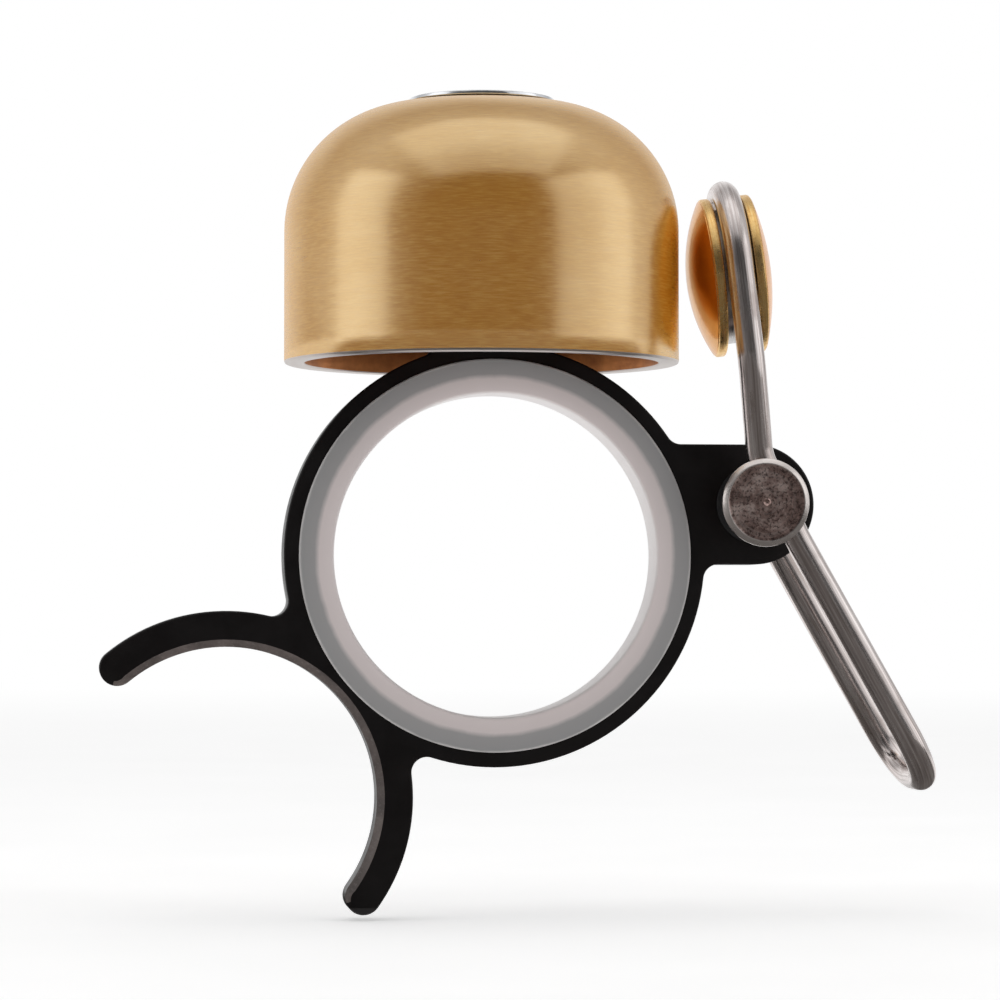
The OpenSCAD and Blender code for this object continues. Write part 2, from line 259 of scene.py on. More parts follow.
def lathe(profile, segments, zones=None):
    """Turns a (radius, height) profile about Z. It is closed, or ends on the axis at both ends.

    zones gives each stretch of the profile its material index.
    """
    bm = bmesh.new()
    rings = []
    for r, z in profile:
        if r < 1e-6:
            rings.append([bm.verts.new((0, 0, z))])
            continue
        angles = [2 * math.pi * k / segments for k in range(segments)]
        rings.append([bm.verts.new((r * math.cos(a), r * math.sin(a), z)) for a in angles])
    closed = len(rings[0]) > 1
    for i in range(len(rings) if closed else len(rings) - 1):
        a, b = rings[i], rings[(i + 1) % len(rings)]
        for k in range(segments):
            j = (k + 1) % segments
            if len(a) == 1:
                face = bm.faces.new((a[0], b[k], b[j]))
            elif len(b) == 1:
                face = bm.faces.new((a[k], b[0], a[j]))
            else:
                face = bm.faces.new((a[k], b[k], b[j], a[j]))
            face.material_index = zones[i] if zones else 0
    return bm


def sweep(path, radius, sides, end_round=0.2):
    """A round rod along a path, with rounded ends.

    Its vector attribute "grain" holds the length along the rod and the place round it.
    """
    tangents = [(path[min(i + 1, len(path) - 1)] - path[max(i - 1, 0)]).normalized()
                for i in range(len(path))]
    normal = Vector((0, 1, 0))
    stations, run = [], 0.0
    for i, (point, t) in enumerate(zip(path, tangents)):
        run += (point - path[i - 1]).length if i else 0.0
        normal = (normal - t * normal.dot(t)).normalized()
        stations.append((point, t, normal, radius, run))
    first, last = stations[0], stations[-1]
    round_steps = 4
    curve = [math.pi / 2 * k / round_steps for k in range(round_steps + 1)]
    start_rings = [(first[0] + first[1] * end_round * (1 - math.cos(a)), first[1], first[2],
                    radius - end_round * (1 - math.sin(a)), 0.0) for a in curve]
    end_rings = [(last[0] - last[1] * end_round * (1 - math.cos(a)), last[1], last[2],
                  radius - end_round * (1 - math.sin(a)), run) for a in reversed(curve)]
    stations = start_rings + stations[1:-1] + end_rings

    bm = bmesh.new()
    grain = bm.verts.layers.float_vector.new("grain")
    rings = []
    for point, t, n, r, s in stations:
        b = t.cross(n)
        ring = []
        for k in range(sides):
            a = 2 * math.pi * k / sides
            vert = bm.verts.new(point + (n * math.cos(a) + b * math.sin(a)) * r)
            vert[grain] = Vector((s, math.cos(a) * radius, math.sin(a) * radius))
            ring.append(vert)
        rings.append(ring)
    for a, b in zip(rings, rings[1:]):
        for k in range(sides):
            j = (k + 1) % sides
            bm.faces.new((a[k], b[k], b[j], a[j]))
    bm.faces.new(rings[0])
    bm.faces.new(reversed(rings[-1]))
    return bm


def cylinder_tool(radius, length, matrix, sides=64):
    """A plain cylinder or prism from 0 to length along its own Z, used only to cut."""
    bm = lathe([(0, 0), (radius, 0), (radius, length), (0, length)], sides)
    tool = finish_mesh("tool", bm, [])
    tool.matrix_world = matrix
    return tool


def box_tool(low, high):
    """A plain box, used only to cut."""
    bm = bmesh.new()
    bmesh.ops.create_cube(bm, size=1)
    size = Vector(high) - Vector(low)
    for vert in bm.verts:
        vert.co = Vector(low) + Vector(c * (s + 0.5) for c, s in zip(size, vert.co))
    return finish_mesh("tool", bm, [])


def standing(x, y, z):
    """Places a solid whose own Z points up."""
    return Matrix.Translation(Vector((x, y, z)) * MM)


def facing(x, y, z, side):
    """Places a solid whose own Z points along Y: towards the front (-1) or the back (1)."""
    return Matrix.Translation(Vector((x, y, z)) * MM) @ Matrix.Rotation(-side * math.pi / 2, 4, "X")


# ======================= Materials =======================

class Shader:
    """A Principled material, with short names for the nodes that these materials use."""

    def __init__(self, name, **values):
        self.material = bpy.data.materials.new(name)
        self.material.use_nodes = True
        self.tree = self.material.node_tree
        self.surface = self.tree.nodes["Principled BSDF"]
        for socket, value in values.items():
            self.surface.inputs[socket.replace("_", " ")].default_value = value
        self.object_space = self.tree.nodes.new("ShaderNodeTexCoord").outputs["Object"]

    def feed(self, value, socket):
        """Links a node's output to a socket, or sets the socket to a plain value."""
        if isinstance(value, bpy.types.NodeSocket):
            self.tree.links.new(value, socket)
        else:
            socket.default_value = value

    def math(self, operation, a, b=0.0):
        node = self.tree.nodes.new("ShaderNodeMath")
        node.operation = operation
        for socket, value in zip(node.inputs, (a, b)):
            self.feed(value, socket)
        return node.outputs[0]

    def vector(self, x, y, z):
        node = self.tree.nodes.new("ShaderNodeCombineXYZ")
        for socket, value in zip(node.inputs, (x, y, z)):
            self.feed(value, socket)
        return node.outputs[0]

    def split(self, value):
        node = self.tree.nodes.new("ShaderNodeSeparateXYZ")
        self.feed(value, node.inputs[0])
        return node.outputs

    def noise(self, at, scale, detail=3.0, roughness=0.5, distortion=0.0):
        """Noise from 0 to 1. The scale is in features per millimetre of at's own unit."""
        node = self.tree.nodes.new("ShaderNodeTexNoise")
        self.feed(at, node.inputs["Vector"])
        node.inputs["Scale"].default_value = scale
        node.inputs["Detail"].default_value = detail
        node.inputs["Roughness"].default_value = roughness
        node.inputs["Distortion"].default_value = distortion
        return node.outputs["Fac"]

    def ramp(self, value, stops):
        node = self.tree.nodes.new("ShaderNodeValToRGB")
        self.feed(value, node.inputs[0])
        elements = node.color_ramp.elements
        while len(elements) < len(stops):
            elements.new(0.5)
        for element, (place, colour) in zip(elements, stops):
            element.position = place
            element.color = (*colour, 1)
        return node.outputs["Color"]

    def spread(self, value, low, high, to_low=0.0, to_high=1.0):
        """Maps low..high to to_low..to_high, smoothly and with limits."""
        node = self.tree.nodes.new("ShaderNodeMapRange")
        node.interpolation_type = "SMOOTHSTEP"
        for socket, number in zip(node.inputs, (value, low, high, to_low, to_high)):
            self.feed(number, socket)
        return node.outputs[0]

    def mix(self, share, a, b):
        node = self.tree.nodes.new("ShaderNodeMix")
        node.data_type = "RGBA"
        for socket, value in zip((node.inputs[0], node.inputs[6], node.inputs[7]), (share, a, b)):
            self.feed(value if isinstance(value, (bpy.types.NodeSocket, float)) else (*value, 1), socket)
        return node.outputs[2]

    def bump(self, height, depth, after=None):
        """Bump of the given depth in millimetres."""
        node = self.tree.nodes.new("ShaderNodeBump")
        node.inputs["Strength"].default_value = 1.0
        node.inputs["Distance"].default_value = depth * MM
        self.feed(height, node.inputs["Height"])
        if after is not None:
            self.feed(after, node.inputs["Normal"])
        return node.outputs[0]

    def set(self, **values):
        for socket, value in values.items():
            self.feed(value, self.surface.inputs[socket.replace("_", " ")])
        return self.material

    def under(self, colour, share):
        """Lets a dull layer of the given colour show through the surface by a share."""
        dull = self.tree.nodes.new("ShaderNodeBsdfDiffuse")
        self.feed(colour, dull.inputs[0])
        mixer = self.tree.nodes.new("ShaderNodeMixShader")
        self.feed(share, mixer.inputs[0])
        self.tree.links.new(self.surface.outputs[0], mixer.inputs[1])
        self.tree.links.new(dull.outputs[0], mixer.inputs[2])
        self.tree.links.new(mixer.outputs[0], self.tree.nodes["Material Output"].inputs[0])
        return self.material

    def in_mm(self):
        """Object coordinates in millimetres, as separate X, Y and Z."""
        x, y, z = self.split(self.object_space)
        return [self.math("MULTIPLY", c, 1 / MM) for c in (x, y, z)]

    def radius(self, x, y):
        squares = self.math("ADD", self.math("MULTIPLY", x, x), self.math("MULTIPLY", y, y))
        return self.math("SQRT", squares)

    def turned_lines(self, x, y, z, fine, along):
        """Noise in fine lines round the piece's own Z axis: fine across them, long along them."""
        across = self.math("SUBTRACT", z, self.radius(x, y))
        return self.noise(self.vector(self.math("MULTIPLY", across, fine),
                                      self.math("MULTIPLY", x, along),
                                      self.math("MULTIPLY", y, along)), 1.0, 4.0, 0.6)


def brushed_brass():
    """Lacquered satin brass, with short fine lines turned round the bell and an uneven tone."""
    s = Shader("bell_brass_finish", Metallic=1.0, Anisotropic=0.5)
    x, y, z = s.in_mm()
    fine = s.turned_lines(x, y, z, 10.0, 0.9)
    coarse = s.turned_lines(x, y, z, 4.0, 0.30)
    clouds = s.noise(s.vector(x, y, z), 0.22, 3.0)
    tone = s.ramp(clouds, [(0.3, (0.76, 0.63, 0.38)), (0.7, (0.86, 0.74, 0.47))])
    tone = s.mix(s.spread(coarse, 0.38, 0.62, 0.0, 0.16), tone, (0.60, 0.45, 0.24))
    tone = s.mix(s.spread(fine, 0.52, 0.72, 0.0, 0.18), tone, (0.95, 0.86, 0.62))
    rough = s.spread(fine, 0.3, 0.75, 0.16, 0.25)
    tangent = s.tree.nodes.new("ShaderNodeTangent")
    tangent.direction_type = "RADIAL"
    tangent.axis = "Z"
    normal = s.bump(coarse, 0.002, s.bump(fine, 0.002))
    s.set(Base_Color=tone, Roughness=rough, Normal=normal, Tangent=tangent.outputs[0])
    under = s.ramp(fine, [(0.36, (0.74, 0.265, 0.011)), (0.5, (0.82, 0.32, 0.017)),
                          (0.66, (0.92, 0.40, 0.035))])
    return s.under(under, 0.40)


def bell_inside():
    """The bell's unpolished inside: dull dark brass."""
    s = Shader("bell_inside_finish", Metallic=1.0)
    x, y, z = s.in_mm()
    marks = s.turned_lines(x, y, z, 3.0, 0.3)
    clouds = s.noise(s.vector(x, y, z), 0.6, 4.0, 0.6)
    tone = s.ramp(clouds, [(0.3, (0.41, 0.155, 0.056)), (0.7, (0.69, 0.285, 0.096))])
    return s.set(Base_Color=tone, Roughness=s.spread(marks, 0.3, 0.7, 0.42, 0.55),
                 Normal=s.bump(marks, 0.005))


def bare_rim():
    """The bell's cut rim: paler bare metal with small dark nicks."""
    s = Shader("bell_rim_cut", Metallic=1.0)
    x, y, z = s.in_mm()
    marks = s.turned_lines(x, y, z, 7.0, 0.2)
    nicks = s.noise(s.vector(x, y, z), 1.7, 3.0, 0.6)
    tone = s.ramp(marks, [(0.3, (0.50, 0.45, 0.42)), (0.7, (0.66, 0.60, 0.57))])
    tone = s.mix(s.spread(nicks, 0.70, 0.78, 0.0, 0.8), tone, (0.12, 0.07, 0.05))
    return s.set(Base_Color=tone, Roughness=s.spread(marks, 0.3, 0.7, 0.28, 0.42))


def polished_brass():
    """The buttons' smooth orange domes, with faint turning lines and cloudy tarnish."""
    s = Shader("button_polish", Metallic=1.0)
    x, y, z = s.in_mm()
    lines = s.turned_lines(x, y, z, 6.0, 0.5)
    clouds = s.noise(s.vector(x, y, z), 0.45, 4.0, 0.6)
    tone = s.ramp(clouds, [(0.3, (0.80, 0.41, 0.12)), (0.7, (0.92, 0.52, 0.18))])
    rough = s.spread(lines, 0.3, 0.7, 0.14, 0.20)
    s.set(Base_Color=tone, Roughness=rough, Normal=s.bump(lines, 0.0012),
          Coat_Weight=0.12, Coat_Roughness=0.12)
    under = s.ramp(clouds, [(0.3, (0.55, 0.12, 0.006)), (0.7, (0.90, 0.25, 0.015))])
    return s.under(under, 0.22)


def machined_brass():
    """The buttons' yellow edge, with the fine marks of the cutting tool."""
    s = Shader("button_edge", Metallic=1.0)
    x, y, z = s.in_mm()
    marks = s.turned_lines(x, y, z, 22.0, 0.6)
    nicks = s.noise(s.vector(x, y, z), 3.4, 4.0, 0.75)
    tone = s.ramp(marks, [(0.3, (0.80, 0.44, 0.13)), (0.7, (1.0, 0.72, 0.32))])
    tone = s.mix(s.spread(nicks, 0.56, 0.70, 0.0, 0.55), tone, (0.40, 0.20, 0.05))
    return s.set(Base_Color=tone, Roughness=s.spread(nicks, 0.3, 0.7, 0.22, 0.42),
                 Normal=s.bump(nicks, 0.01, s.bump(marks, 0.006)))


def drawn_wire():
    """Bright drawn steel wire, with fine lengthwise lines and a few dull smudges."""
    s = Shader("wire_finish", Metallic=1.0)
    grain = s.tree.nodes.new("ShaderNodeAttribute")
    grain.attribute_name = "grain"
    along, u, v = s.split(grain.outputs["Vector"])
    lines = s.noise(s.vector(s.math("MULTIPLY", along, 0.15), s.math("MULTIPLY", u, 7.0),
                             s.math("MULTIPLY", v, 7.0)), 1.0, 4.0, 0.6)
    smudges = s.noise(s.vector(s.math("MULTIPLY", along, 0.35), u, v), 0.9, 4.0, 0.6)
    tone = s.ramp(lines, [(0.34, (0.46, 0.40, 0.38)), (0.5, (0.70, 0.63, 0.61)), (0.64, (0.88, 0.82, 0.80))])
    tone = s.mix(s.spread(smudges, 0.50, 0.7, 0.0, 0.55), tone, (0.42, 0.35, 0.32))
    rough = s.math("ADD", s.spread(lines, 0.3, 0.7, 0.17, 0.25), s.spread(smudges, 0.45, 0.7, 0.0, 0.10))
    return s.set(Base_Color=tone, Roughness=rough, Normal=s.bump(lines, 0.004))


def turned_drum():
    """Darkened steel: rings from turning on the face, blotches of grey and brown, and a paler band painted on the
    rounded rim as its highlight.
    """
    s = Shader("drum_finish", Metallic=1.0)
    x, y, z = s.in_mm()
    rings = s.turned_lines(x, y, z, 5.5, 0.25)
    blotches = s.noise(s.vector(x, y, z), 0.75, 5.0, 0.65, 0.4)
    grain = s.noise(s.vector(x, y, z), 5.0, 4.0, 0.7)
    tone = s.ramp(blotches, [(0.36, (0.30, 0.20, 0.18)), (0.5, (0.60, 0.42, 0.38)),
                             (0.62, (0.98, 0.78, 0.72))])
    tone = s.mix(s.spread(rings, 0.48, 0.66, 0.0, 0.35), tone, (0.95, 0.82, 0.78))
    tone = s.mix(s.spread(grain, 0.50, 0.62, 0.0, 0.75), tone, (0.09, 0.060, 0.052))
    # painted highlight: the rounded rim is made paler, standing in for the light that its chamfer catches
    tone = s.mix(s.spread(s.radius(x, y), drum_r - 0.44, drum_r - 0.34), tone, (0.80, 0.74, 0.71))
    rough = s.spread(blotches, 0.3, 0.7, 0.24, 0.40)
    return s.set(Base_Color=tone, Roughness=rough, Normal=s.bump(grain, 0.012, s.bump(rings, 0.012)))


def bare_steel(name, tone_low, tone_high, low, high, fine=8.0):
    """Plain steel with faint turning lines."""
    s = Shader(name, Metallic=1.0)
    x, y, z = s.in_mm()
    lines = s.turned_lines(x, y, z, fine, 0.15)
    clouds = s.noise(s.vector(x, y, z), 0.8, 4.0, 0.6)
    tone = s.ramp(clouds, [(0.3, tone_low), (0.7, tone_high)])
    return s.set(Base_Color=tone, Roughness=s.spread(lines, 0.3, 0.7, low, high),
                 Normal=s.bump(lines, 0.003))


def black_coat():
    """Satin black coating on the bracket: faint grain, small scuffs and a few bare chips."""
    s = Shader("bracket_coat", Specular_IOR_Level=0.24)
    x, y, z = s.in_mm()
    at = s.vector(x, y, z)
    grain = s.noise(at, 5.5, 4.0, 0.65)
    clouds = s.noise(at, 0.35, 4.0, 0.6)
    scuffs = s.noise(s.vector(s.math("MULTIPLY", x, 1.8), s.math("MULTIPLY", y, 0.8),
                              s.math("MULTIPLY", z, 5.0)), 0.8, 5.0, 0.7, 0.3)
    tone = s.ramp(clouds, [(0.3, (0.0060, 0.0045, 0.0045)), (0.7, (0.0100, 0.0080, 0.0080))])
    tone = s.mix(s.spread(scuffs, 0.68, 0.80, 0.0, 0.5), tone, (0.09, 0.08, 0.075))
    rough = s.math("ADD", s.spread(clouds, 0.3, 0.7, 0.34, 0.46), s.spread(scuffs, 0.6, 0.75, 0.0, 0.12))
    return s.set(Base_Color=tone, Roughness=rough, Normal=s.bump(grain, 0.008))


def bevel_painted_highlight():
    """The claw's bevelled inner edge, painted a paler grey as the highlight that the bevel catches, with fine
    grit.
    """
    s = Shader("claw_bevel_painted_highlight", Specular_IOR_Level=0.5)
    x, y, z = s.in_mm()
    at = s.vector(x, y, z)
    highlight_patches = s.noise(at, 0.55, 5.0, 0.65)
    grit = s.noise(at, 6.0, 3.0, 0.7)
    # painted highlight: the paler grey stands in for the light that the bevel catches
    tone = s.ramp(highlight_patches, [(0.30, (0.060, 0.047, 0.043)), (0.70, (0.150, 0.120, 0.110))])
    tone = s.mix(s.spread(grit, 0.55, 0.7, 0.0, 0.4), tone, (0.24, 0.21, 0.20))
    return s.set(Base_Color=tone, Roughness=0.5, Normal=s.bump(grit, 0.01))


def milky_liner():
    """Half-clear soft plastic: greyer where it lies on the black ring, paler over the bar's bore, with a painted
    highlight along the lips' outer edge.
    """
    s = Shader("liner_plastic", Specular_IOR_Level=0.4)
    x, y, z = s.in_mm()
    at = s.vector(x, y, z)
    r = s.radius(x, y)
    clouds = s.noise(at, 0.45, 4.0, 0.6)
    fine = s.noise(at, 4.0, 3.0, 0.6)
    # 0 at the bore's wall, 1 at the lip's outer edge
    place = s.spread(r, bar_r, lip_r)
    place.node.interpolation_type = "LINEAR"
    uneven = s.math("ADD", place, s.math("MULTIPLY", s.math("SUBTRACT", clouds, 0.5), 0.10))
    # The last stop is a painted highlight along the lips' rounded outer edge.
    tone = s.ramp(uneven, [(0.0, (0.80, 0.76, 0.75)), (0.07, (0.76, 0.68, 0.67)),
                           (0.42, (0.70, 0.625, 0.615)), (0.56, (0.355, 0.345, 0.345)),
                           (0.93, (0.325, 0.32, 0.32)), (1.0, (0.60, 0.58, 0.57))])
    return s.set(Base_Color=tone, Roughness=s.spread(fine, 0.3, 0.7, 0.30, 0.42),
                 Normal=s.bump(fine, 0.006))


def matt(name, low, high, rough, scale):
    """A dull, finely mottled solid colour, for fibre, nylon and the like."""
    s = Shader(name)
    x, y, z = s.in_mm()
    mottle = s.noise(s.vector(x, y, z), scale, 4.0, 0.65)
    tone = s.ramp(mottle, [(0.3, low), (0.7, high)])
    return s.set(Base_Color=tone, Roughness=rough, Normal=s.bump(mottle, 0.01))


# ======================= Bracket =======================

def arc(centre, radius, start, end, step=2.5):
    """Points from angle start to angle end, in radians, about a centre in the X-Z plane."""
    count = max(2, math.ceil(abs(math.degrees(end - start)) / step))
    angles = [start + (end - start) * k / count for k in range(count + 1)]
    return [Vector((centre.x + radius * math.cos(a), centre.y + radius * math.sin(a))) for a in angles]


def angle_of(vector):
    return math.atan2(vector.y, vector.x)


def turned_below(angle, limit):
    """The same direction as angle, written as a number no higher than limit."""
    while angle > limit:
        angle -= 2 * math.pi
    while angle <= limit - 2 * math.pi:
        angle += 2 * math.pi
    return angle


def blend_centre(a, ra, b, rb, side):
    """Centre of the blend that touches two round outlines from outside."""
    gap = (b - a).length
    along = ((ra + blend_r) ** 2 - (rb + blend_r) ** 2 + gap ** 2) / (2 * gap)
    up = side * math.sqrt((ra + blend_r) ** 2 - along ** 2)
    direction = (b - a) / gap
    return a + direction * along + Vector((-direction.y, direction.x)) * up


def level_blend(z, side):
    """Centre of the blend between the ring and a level edge, above it (1) or below it (-1)."""
    centre_z = z + side * blend_r
    return Vector((math.sqrt((ring_r + blend_r) ** 2 - centre_z ** 2), centre_z))


def upright_blend(x, side):
    """Centre of the blend between the ring and an upright edge, outside it."""
    centre_x = x + side * blend_r
    return Vector((centre_x, math.sqrt((ring_r + blend_r) ** 2 - centre_x ** 2)))


def bracket_outline():
    """The bracket's outline, anticlockwise, as (point, bevel) pairs. The claw's hollow has the wide bevel."""
    full = 2 * math.pi
    # The blends beside the boss stop this short, to leave room for the corner's rounding.
    corner_gap = 0.25
    bar = Vector((0, 0))
    lug = Vector((pivot.x, pivot.z))
    claw = Vector((claw_centre.x, claw_centre.z))
    claw_outer_r = claw_r + claw_w
    top, foot = level_blend(lug.y + lug_r, 1), level_blend(lug.y - lug_r, -1)
    right, left = upright_blend(bell_x + boss_r, 1), upright_blend(bell_x - boss_r, -1)
    lower = blend_centre(bar, ring_r, claw, claw_outer_r, 1)
    upper = blend_centre(bar, ring_r, claw, claw_outer_r, -1)

    line = [(p, edge_round) for p in arc(lug, lug_r, -math.pi / 2, math.pi / 2)]

    def add(points, bevels=edge_round):
        for k, point in enumerate(points):
            bevel = bevels if isinstance(bevels, float) else bevels(k / (len(points) - 1))
            if (point - line[-1][0]).length > 1e-3:
                line.append((point, bevel))

    add(arc(top, blend_r, -math.pi / 2, turned_below(angle_of(-top), 0), 6))
    add(arc(bar, ring_r, angle_of(top), angle_of(right)))
    add(arc(right, blend_r, turned_below(angle_of(-right), 0), -math.pi + corner_gap, 6))
    add([Vector((bell_x + boss_r, boss_foot_z)), Vector((bell_x - boss_r, boss_foot_z))])
    add(arc(left, blend_r, -corner_gap, turned_below(angle_of(-left), 0), 6))
    upper_on_ring = angle_of(upper) % full
    add(arc(bar, ring_r, angle_of(left), upper_on_ring))
    add(arc(upper, blend_r, angle_of(-upper), turned_below(angle_of(claw - upper), 0), 6))
    add(arc(claw, claw_outer_r, angle_of(upper - claw), upper_tip))
    tip_r = claw_w / 2

    def tip_at(angle):
        return claw + Vector((math.cos(angle), math.sin(angle))) * (claw_r + tip_r)

    def wider(share):
        return edge_round + (claw_bevel - edge_round) * max(0.0, share * 2 - 1)

    add(arc(tip_at(upper_tip), tip_r, upper_tip, upper_tip + math.pi, 6), wider)
    add(arc(claw, claw_r, upper_tip, lower_tip), claw_bevel)
    add(arc(tip_at(lower_tip), tip_r, lower_tip + math.pi, lower_tip + full, 6), lambda s: wider(1 - s))
    add(arc(claw, claw_outer_r, lower_tip, angle_of(lower - claw)))
    to_claw = angle_of(claw - lower) % full
    add(arc(lower, blend_r, to_claw, turned_below(angle_of(-lower), to_claw), 6))
    add(arc(bar, ring_r, angle_of(lower), angle_of(foot)))
    add(arc(foot, blend_r, angle_of(-foot) % full, math.pi / 2, 6))
    if (line[-1][0] - line[0][0]).length < 1e-3:
        line.pop()
    return line


def bracket_mesh():
    """The flat plate: beveled outline, bar hole, and flat faces between them."""
    outline = bracket_outline()
    count = len(outline)
    normals = []
    for i in range(count):
        along = outline[(i + 1) % count][0] - outline[i - 1][0]
        normals.append(Vector((along.y, -along.x)).normalized())

    bm = bmesh.new()
    steps = 4

    def edge_ring(t, side):
        """A ring of the rounded edge: t = 0 on the flat face, 1 on the side wall."""
        ring = []
        for (point, bevel), normal in zip(outline, normals):
            chamfer = min(1.0, max(0.0, (bevel - edge_round) / (claw_bevel - edge_round)))
            inset = (1 - math.sin(t * math.pi / 2)) * (1 - chamfer) + (1 - t) * chamfer
            drop = (1 - math.cos(t * math.pi / 2)) * (1 - chamfer) + t * chamfer
            place = point - normal * bevel * inset
            ring.append(bm.verts.new((place.x, side * (half_t - bevel * drop), place.y)))
        return ring

    rings = [edge_ring(k / steps, -1) for k in range(steps + 1)]
    rings += [edge_ring(1 - k / steps, 1) for k in range(steps + 1)]
    for k, (a, b) in enumerate(zip(rings, rings[1:])):
        for i in range(count):
            j = (i + 1) % count
            face = bm.faces.new((a[i], a[j], b[j], b[i]))
            wide = min(outline[i][1], outline[j][1]) > 0.6 * claw_bevel
            face.material_index = 1 if wide and k != steps else 0
    sides = 160
    holes = []
    for y in (-half_t, half_t):
        angles = [2 * math.pi * k / sides for k in range(sides)]
        holes.append([bm.verts.new((ring_hole_r * math.cos(a), y, ring_hole_r * math.sin(a)))
                      for a in angles])
    for i in range(sides):
        j = (i + 1) % sides
        bm.faces.new((holes[0][i], holes[0][j], holes[1][j], holes[1][i]))
    for ring, hole in ((rings[0], holes[0]), (rings[-1], holes[1])):
        edges = [bm.edges.get((loop[i], loop[(i + 1) % len(loop)]))
                 for loop in (ring, hole) for i in range(len(loop))]
        bmesh.ops.triangle_fill(bm, use_beauty=True, use_dissolve=False, edges=edges)
    return bm


def build_bracket(coat, bevel):
    bm = bracket_mesh()
    piece = finish_mesh("bracket_plate", bm, [coat, bevel])
    boss = rounded_profile([(0, boss_root_z, 0), (boss_r, boss_root_z, 0),
                            (boss_r, boss_top_z, boss_edge), (0, boss_top_z, 0)])
    boss_tool = finish_mesh("tool", lathe(boss, 96), [coat, bevel])
    boss_tool.matrix_world = standing(bell_x, 0, 0)
    combine(piece, boss_tool, "UNION")
    screw_hole = standing(bell_x, 0, screw_hole_floor_z)
    pin_hole = facing(pivot.x, -TOOL_LENGTH / 2, pivot.z, 1)
    pocket = facing(pivot.x, spring_pocket_floor, pivot.z, 1)
    notch_low = (pivot.x - spring_notch_l, spring_pocket_floor, pivot.z - spring_notch_w / 2)
    notch_high = (pivot.x, half_t + 1, pivot.z + spring_notch_w / 2)
    for tool in (cylinder_tool(screw_hole_r, TOOL_LENGTH, screw_hole),
                 cylinder_tool(pin_hole_r, TOOL_LENGTH, pin_hole),
                 cylinder_tool(spring_pocket_r, TOOL_LENGTH, pocket),
                 box_tool(notch_low, notch_high)):
        combine(piece, tool, "DIFFERENCE")
    piece.data.set_sharp_from_angle(angle=math.radians(SHARP))
    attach(piece, BELL)
    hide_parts("bracket")


def build_liner(plastic):
    """The liner: a channel with rounded lips, folded over both faces of the ring."""
    w, t = liner_half_w, half_t
    bore_round, lip_round, fold_round = 0.22, 0.16, 0.09
    profile = rounded_profile([
        (bar_r, -w, bore_round), (lip_r, -w, lip_round), (lip_r, -t, fold_round), (ring_hole_r, -t, 0),
        (ring_hole_r, t, 0), (lip_r, t, fold_round), (lip_r, w, lip_round), (bar_r, w, bore_round)])
    make_piece("liner_channel", lathe(profile, 220), [plastic], BELL, "bar_liner", facing(0, 0, 0, 1))


# ======================= Bell =======================

def dome_section(r, foot, top, corner, start_r):
    """Half section of the bell's outside or inside, from the foot up to start_r on the crown."""
    centre = (r - corner, top - corner)
    shoulder = [(centre[0] + corner * math.cos(a), centre[1] + corner * math.sin(a))
                for a in [math.pi / 2 * k / 40 for k in range(41)]]
    skirt = [(r, foot + (centre[1] - foot) * k / 6) for k in range(6)]
    return skirt + shoulder + [(start_r + (centre[0] - start_r) * 0.5, top), (start_r, top)]


def build_dome(brass, rim, inside):
    inner_r = bell_r - bell_wall
    outer = dome_section(bell_r, rim_z, crown_z, shoulder_r, crown_hole_r)
    inner = dome_section(inner_r, rim_z, crown_z - bell_wall, shoulder_r - bell_wall, crown_hole_r)
    outer_round, inner_round = 0.16, 0.10
    outer_rim = [(bell_r - outer_round, rim_z), (bell_r - 0.05, rim_z + 0.05),
                 (bell_r, rim_z + outer_round)]
    inner_rim = [(inner_r, rim_z + inner_round), (inner_r + 0.03, rim_z + 0.03),
                 (inner_r + inner_round, rim_z)]
    walls = outer[1:] + list(reversed(inner[1:]))
    profile = outer_rim + walls + inner_rim
    on_brass, on_rim, on_inside = 0, 1, 2
    zones = ([on_rim] * (len(outer_rim) - 1) + [on_brass] * len(outer[1:])
             + [on_inside] * len(inner) + [on_rim] * len(inner_rim))
    make_piece("bell_shell", lathe(profile, 256, zones), [brass, rim, inside], BELL, "bell_dome",
               standing(bell_x, 0, 0), sharp=40)


def build_stack(steel, polished, fibre):
    """The screw, washers and tube that hold the bell."""
    head_z = crown_z + cap_washer_t
    edge_z = head_z + cap_edge_t
    rise = screw_high.z - edge_z
    sphere_r = (cap_r ** 2 + rise ** 2) / (2 * rise)
    crown = [cap_r * (1 - k / 10) for k in range(1, 10)]
    dome = [(r, screw_high.z - sphere_r + math.sqrt(sphere_r ** 2 - r ** 2)) for r in crown]
    tip_chamfer, under_round = 0.2, 0.05
    profile = [(0, screw_low.z), (shank_r - tip_chamfer, screw_low.z), (shank_r, screw_low.z + tip_chamfer),
               (shank_r, head_z), (cap_r - under_round, head_z), (cap_r, head_z + under_round),
               (cap_r, edge_z - 0.1), (cap_r - 0.03, edge_z - 0.02),
               (cap_r - 0.12, edge_z + 0.02)] + dome + [(0, screw_high.z)]
    socket = cylinder_tool(socket_r, TOOL_LENGTH, standing(bell_x, 0, screw_high.z - socket_depth), 6)
    make_piece("crown_screw", lathe(profile, 160), [polished], BELL, "cap_screw",
               standing(bell_x, 0, 0), sharp=40, cutters=[socket])

    def ring(name, node, inner, outer, low, high, finish, rounding):
        profile = rounded_profile([(inner, low, 0), (outer, low, rounding), (outer, high, rounding),
                                   (inner, high, 0)])
        make_piece(name, lathe(profile, 128), [finish], BELL, node, standing(bell_x, 0, 0))

    def span(node):
        low, high = corners(node)
        return high.x - bell_x, low.z, high.z

    for name, node, finish, rounding in (("crown_washer", "cap_washer", fibre, 0.05),
                                         ("seat_washer", "bell_seat_washer", fibre, 0.15),
                                         ("spacer", "spacer_tube", steel, 0.15)):
        outer, low, high = span(node)
        ring(name, node, crown_hole_r, outer, low, high, finish, rounding)


# ======================= Striker =======================

